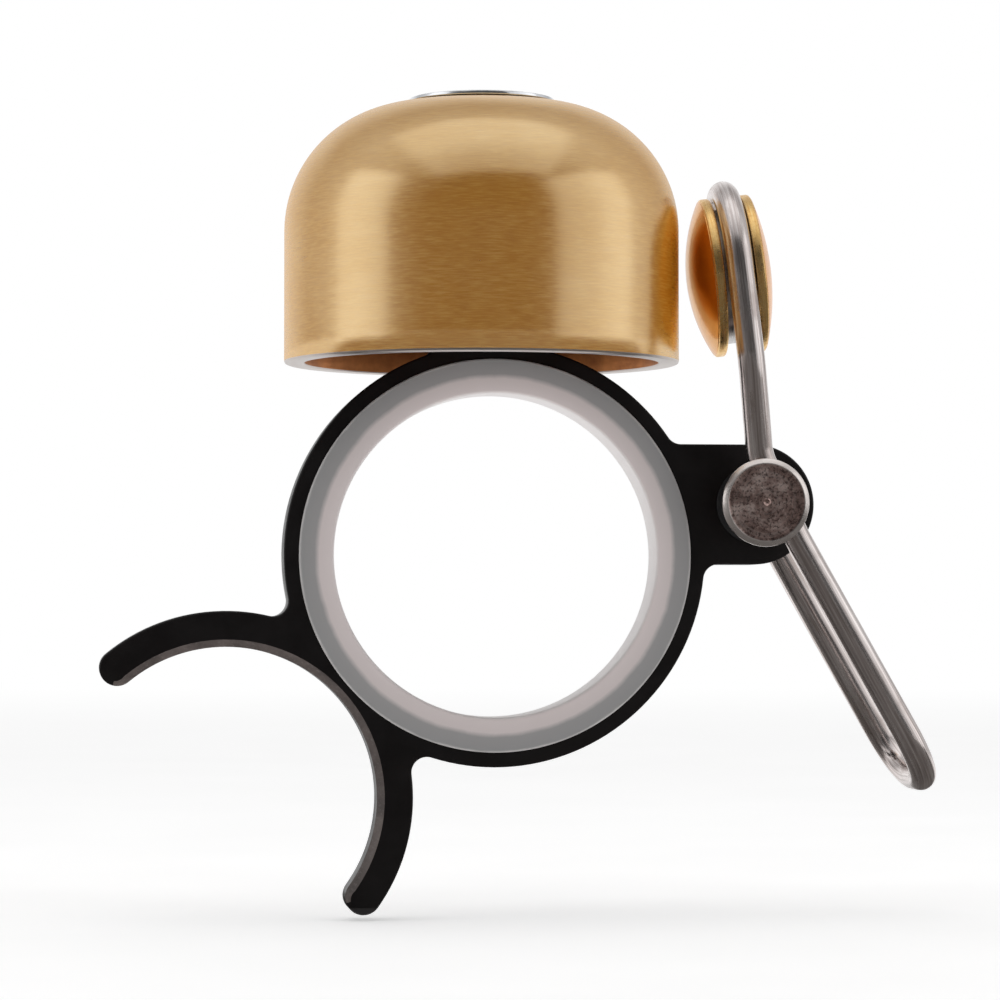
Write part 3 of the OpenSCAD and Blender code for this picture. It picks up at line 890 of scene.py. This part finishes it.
def on_eye(front, up):
    """A point in the plane between the buttons, measured from their axis."""
    to_front = Vector((-math.sin(button_turn), -math.cos(button_turn), 0))
    to_top = Vector((-math.sin(button_lean) * math.cos(button_turn),
                     math.sin(button_lean) * math.sin(button_turn), math.cos(button_lean)))
    return hammer + to_front * front + to_top * up


def wire_path():
    """The centre line of the striker's wire, from its rear end to the free end of its eye."""
    turns = [(drum_entry, leg_y, 0), (drum_exit, leg_y, exit_bend_r), (loop_end, leg_y, loop_bend_r),
             (loop_end, -leg_y, loop_bend_r), (drum_exit, -leg_y, exit_bend_r),
             (drum_entry, -leg_y, entry_bend_r)]
    points = [Vector((x, y, z)) for (x, z), y, _ in turns]
    points += [on_eye(eye_r, eye_foot), on_eye(eye_r, eye_r), on_eye(-eye_r, eye_r),
               on_eye(-eye_r, eye_end)]
    radii = [radius for _, _, radius in turns] + [eye_foot_bend_r, eye_bend_r, eye_bend_r, 0]
    return spaced(route(points, radii, 16), 0.8)


def build_wire(finish):
    make_piece("wire", sweep(wire_path(), wire_r, 36), [finish], STRIKER, "striker_wire", sharp=50)


def wire_hole(y):
    """A tool along the straight run of wire that a drum grips."""
    start, end = Vector((*drum_entry, 0)), Vector((*drum_exit, 0))
    run = end - start
    tilt = math.atan2(run.x, run.y)
    overrun = 3
    matrix = (Matrix.Translation(Vector((start.x, y, start.y)) * MM) @ Matrix.Rotation(tilt, 4, "Y")
              @ Matrix.Translation((0, 0, -overrun * MM)))
    return cylinder_tool(wire_r + wire_fit, run.length + 2 * overrun, matrix)


def drum_face(height):
    """The drum's rounded rim, its slightly dished face with turning ridges, and the pip at the centre."""
    rim = [(drum_r, 0.08), (drum_r, height - 0.34), (drum_r - 0.02, height - 0.26),
           (drum_r - 0.26, height - 0.03), (drum_r - 0.34, height)]
    face_r, dish, pip_r = drum_r - 0.4, 0.03, 0.34
    ridges, per_ridge, ridge_depth = 9, 4, 0.012
    face = []
    for k in range(1, ridges * per_ridge):
        r = face_r * (1 - k / (ridges * per_ridge))
        groove = ridge_depth * (1 - math.cos(2 * math.pi * k / per_ridge)) / 2
        if r > pip_r:
            face.append((r, height - dish - groove))
    pip = [(0.30, height - 0.05), (0.22, height - 0.02), (0.12, height - 0.10), (0, height - 0.16)]
    return rim + face + pip


def build_drums(finish, nylon):
    height = drum_face_y - drum_base_y
    pin_length = drum_base_y + corners("pivot_pin")[1].y
    head = height - front_head_t
    front = [(0, -pin_length), (pin_r - pin_chamfer, -pin_length),
             (pin_r, -pin_length + pin_chamfer), (pin_r, 0),
             (front_neck_r - 0.08, 0), (front_neck_r, 0.08), (front_neck_r, front_collar_foot),
             (front_collar_r - 0.1, front_collar_foot), (front_collar_r, front_collar_foot + 0.1),
             (front_collar_r, head), (drum_r - 0.05, head), (drum_r, head + 0.05)]
    front += drum_face(height)[1:]
    make_piece("front_drum_and_pin", lathe(front, 128), [finish], STRIKER, "pivot_pin",
               facing(pivot.x, -drum_base_y, pivot.z, -1), sharp=28, cutters=[wire_hole(-leg_y)])
    bore_depth = pin_length - 2 * drum_base_y
    rear = [(0, bore_depth), (pin_r, bore_depth), (pin_r, 0), (drum_r - 0.08, 0)] + drum_face(height)
    make_piece("back_drum", lathe(rear, 128), [finish], STRIKER, "rear_drum",
               facing(pivot.x, drum_base_y, pivot.z, 1), sharp=28, cutters=[wire_hole(leg_y)])
    washer_low, washer_high = corners("pivot_washer")
    washer_r = (washer_high.z - washer_low.z) / 2
    washer_t = washer_high.y - washer_low.y
    bore_r = pin_r + washer_fit
    washer = rounded_profile([(bore_r, 0, 0), (washer_r, 0, 0.06), (washer_r, washer_t, 0.06),
                              (bore_r, washer_t, 0)])
    make_piece("nylon_washer", lathe(washer, 96), [nylon], BELL, "pivot_washer",
               facing(pivot.x, washer_high.y, pivot.z, -1))


def build_spring(steel):
    """The torsion spring: a tang in the lug's notch, three coils and a tang in the rear drum."""
    per_turn = 40
    coil = []
    for i in range(spring_coils * per_turn + 1):
        a = math.pi + 2 * math.pi * i / per_turn
        rise = spring_pitch * i / per_turn
        coil.append(Vector((pivot.x + spring_coil_r * math.cos(a), spring_foot_y + rise,
                            pivot.z + spring_coil_r * math.sin(a))))
    foot = [coil[0] - Vector((spring_foot_l, 0, 0)), coil[0] - Vector((spring_foot_bend, 0, 0))]
    bend_point = coil[-1] + spring_tang_bend
    tang = [bend_point, Vector((bend_point.x, spring_tang_y, bend_point.z))]
    wire = sweep(foot + coil[2:] + tang, spring_wire_r, 12, end_round=0.05)
    make_piece("torsion_spring", wire, [steel], BELL, "return_spring", sharp=50)


def on_hammer(side):
    """The hammer's axis: towards the bell (-1) or away from it (1), with Z pointing outwards."""
    return (Matrix.Translation(hammer * MM) @ Matrix.Rotation(-button_turn, 4, "Z")
            @ Matrix.Rotation(side * math.pi / 2 - button_lean, 4, "Y"))


def button_profile(rise):
    """A domed button that stands on its rim's plane, and the material zones of its profile."""
    foot = button_gap / 2
    top = foot + button_edge + rise
    sphere_r = (button_r ** 2 + rise ** 2) / (2 * rise)
    socket_z = foot + rivet_end_l
    edge = [(0, socket_z), (rivet_end_r, socket_z), (rivet_end_r, foot), (button_r - 0.16, foot),
            (button_r - 0.05, foot + 0.05), (button_r, foot + 0.14), (button_r, foot + button_edge - 0.12),
            (button_r - 0.04, foot + button_edge - 0.03), (button_r - 0.14, foot + button_edge + 0.03)]
    radii = [(button_r - 0.14) * math.cos(math.pi / 2 * k / 28) for k in range(1, 28)]
    dome = [(r, top - sphere_r + math.sqrt(sphere_r ** 2 - r ** 2)) for r in radii]
    profile = edge + dome + [(0, top)]
    on_dome, on_edge = 0, 1
    zones = [on_edge] * (len(edge) - 1) + [on_dome] * (len(dome) + 1)
    return profile, zones


def build_hammer(polish, machined, steel):
    for name, node, side, rise in (("inner_button", "strike_button", -1, strike_rise),
                                   ("far_button", "outer_button", 1, outer_rise)):
        profile, zones = button_profile(rise)
        make_piece(name, lathe(profile, 160, zones), [polish, machined], STRIKER, node,
                   on_hammer(side), sharp=30)
    shank = button_gap / 2
    end = shank + rivet_end_l - 0.04
    profile = [(0, -end), (rivet_end_r, -end), (rivet_end_r, -shank), (waist_r, -shank),
               (waist_r, shank), (rivet_end_r, shank), (rivet_end_r, end), (0, end)]
    make_piece("waist", lathe(profile, 128), [steel], STRIKER, "hammer_rivet", on_hammer(1))


# ======================= Stage =======================

def sheet(name, bm, shader):
    """A flat object from a bmesh in metres."""
    mesh = bpy.data.meshes.new(name)
    bm.to_mesh(mesh)
    bm.free()
    mesh.materials.append(shader.material)
    flat = bpy.data.objects.new(name, mesh)
    bpy.context.scene.collection.objects.link(flat)
    return flat


def add_floor():
    """A pale floor just under the object that fades into the background's white."""
    low = cad_bounds[0][2] - FLOOR_GAP
    bm = bmesh.new()
    sides = 96
    loops = []
    for r in (0.08, 0.16, 0.3, 0.6, 1.2, 2.5, 6.0):
        loops.append([bm.verts.new((r * math.cos(2 * math.pi * k / sides),
                                    r * math.sin(2 * math.pi * k / sides), low)) for k in range(sides)])
    bm.faces.new(loops[0])
    for a, b in zip(loops, loops[1:]):
        for k in range(sides):
            bm.faces.new((a[k], b[k], b[(k + 1) % sides], a[(k + 1) % sides]))
    s = Shader("floor_white", Roughness=0.9, Specular_IOR_Level=0.1)
    x, y, _ = s.split(s.object_space)
    r = s.radius(x, y)
    paper = s.noise(s.object_space, 60.0, 3.0)
    near = s.ramp(paper, [(0.3, (0.88, 0.88, 0.88)), (0.7, (0.92, 0.92, 0.92))])
    s.set(Base_Color=near, Emission_Color=(1, 1, 1, 1), Emission_Strength=0.40)
    glow = s.tree.nodes.new("ShaderNodeEmission")
    glow.inputs["Color"].default_value = (1, 1, 1, 1)
    glow.inputs["Strength"].default_value = 1.0
    mixer = s.tree.nodes.new("ShaderNodeMixShader")
    s.feed(s.spread(r, 0.06, 0.9), mixer.inputs[0])
    s.tree.links.new(s.surface.outputs[0], mixer.inputs[1])
    s.tree.links.new(glow.outputs[0], mixer.inputs[2])
    s.tree.links.new(mixer.outputs[0], s.tree.nodes["Material Output"].inputs[0])
    floor = sheet("floor", bm, s)


def add_dark_card():
    """A dark card on the floor in front, which only reflections can see, for contrast in the metal."""
    low = cad_bounds[0][2] + CARD_RISE
    bm = bmesh.new()
    spots = [(-1.5, -2.2), (1.5, -2.2), (1.5, 0.03), (-1.5, 0.03)]
    bm.faces.new([bm.verts.new((x, y, low)) for x, y in spots])
    s = Shader("dark_card_felt", Roughness=1.0, Specular_IOR_Level=0.0)
    felt = s.noise(s.object_space, 90.0, 3.0)
    s.set(Base_Color=s.ramp(felt, [(0.3, (0.20, 0.19, 0.185)), (0.7, (0.26, 0.25, 0.24))]))
    card = sheet("dark_card", bm, s)
    card.visible_camera = False
    card.visible_diffuse = False
    card.visible_shadow = False


def add_light(name, place, size, power):
    """A soft box of light, aimed at the middle of the object."""
    aim = Vector((0, 0, 0.004))
    data = bpy.data.lights.new(name, "AREA")
    data.shape = "RECTANGLE"
    data.size, data.size_y = size
    data.energy = power
    light = bpy.data.objects.new(name, data)
    light.location = place
    light.rotation_euler = (aim - Vector(place)).to_track_quat("-Z", "Y").to_euler()
    bpy.context.scene.collection.objects.link(light)


def add_world():
    """Soft white surroundings, darker on the camera's side so that round metal has some contrast."""
    world = bpy.data.worlds.new("studio")
    world.use_nodes = True
    tree = world.node_tree
    background = tree.nodes["Background"]
    direction = tree.nodes.new("ShaderNodeTexCoord").outputs["Generated"]
    split = tree.nodes.new("ShaderNodeSeparateXYZ")
    tree.links.new(direction, split.inputs[0])
    share = tree.nodes.new("ShaderNodeMath")
    share.operation = "MULTIPLY_ADD"
    share.inputs[1].default_value = 0.5
    share.inputs[2].default_value = 0.5
    tree.links.new(split.outputs["Y"], share.inputs[0])
    front = tree.nodes.new("ShaderNodeValToRGB")
    tree.links.new(share.outputs[0], front.inputs[0])
    # brightness by direction, from straight behind the camera (0) to straight ahead of it (1)
    levels = ((0.0, 0.065), (0.12, 0.075), (0.24, 0.24), (0.40, 0.60), (0.58, 0.66), (0.80, 0.46),
              (0.97, 1.0))
    while len(front.color_ramp.elements) < len(levels):
        front.color_ramp.elements.new(0.5)
    for element, (place, level) in zip(front.color_ramp.elements, levels):
        element.position = place
        element.color = (level, level, level, 1)
    seen = tree.nodes.new("ShaderNodeLightPath").outputs["Is Camera Ray"]
    strength = tree.nodes.new("ShaderNodeMix")
    tree.links.new(seen, strength.inputs[0])
    tree.links.new(front.outputs[0], strength.inputs[2])
    strength.inputs[3].default_value = 1.0
    tree.links.new(strength.outputs[0], background.inputs["Strength"])
    background.inputs["Color"].default_value = (1, 1, 1, 1)
    bpy.context.scene.world = world


def add_camera():
    """The photograph's viewpoint, turned to aim at the middle of its picture."""
    data = bpy.data.cameras.new("camera")
    data.lens = 133.7
    data.sensor_width = 36
    data.clip_start = 0.01
    camera = bpy.data.objects.new("camera", data)
    place = Vector((-0.0281, -0.2543, -0.00432))
    camera.location = place
    direction = Vector((0.1124, 1.0, 0.0321))
    camera.rotation_euler = direction.to_track_quat("-Z", "Y").to_euler()
    bpy.context.scene.collection.objects.link(camera)
    bpy.context.scene.camera = camera


# ======================= The object =======================

steel = bare_steel("plain_steel_finish", (0.50, 0.49, 0.48), (0.64, 0.63, 0.62), 0.25, 0.38)
polished = bare_steel("cap_finish", (0.82, 0.83, 0.86), (0.92, 0.94, 0.98), 0.14, 0.24, 12.0)
fibre = matt("fibre_finish", (0.022, 0.011, 0.007), (0.050, 0.026, 0.016), 0.65, 3.0)
nylon = matt("nylon_finish", (0.012, 0.012, 0.013), (0.02, 0.02, 0.022), 0.5, 3.0)

build_bracket(black_coat(), bevel_painted_highlight())
build_liner(milky_liner())
build_dome(brushed_brass(), bare_rim(), bell_inside())
build_stack(steel, polished, fibre)
build_wire(drawn_wire())
build_drums(turned_drum(), nylon)
build_spring(steel)
build_hammer(polished_brass(), machined_brass(), steel)

lock_washer = frame["nodes"]["spacer_lock_washer"]
lock_washer.data.materials.clear()
lock_washer.data.materials.append(steel)

add_floor()
add_dark_card()
add_world()
add_light("left_box", (-0.43, -0.085, 0.08), (0.29, 0.50), 0.26)
add_light("right_box", (0.40, -0.20, 0.08), (0.44, 0.50), 0.39)
add_light("top_box", (0.0, -0.13, 0.42), (0.55, 0.48), 0.345)
add_camera()
bpy.context.scene.view_settings.view_transform = "Standard"
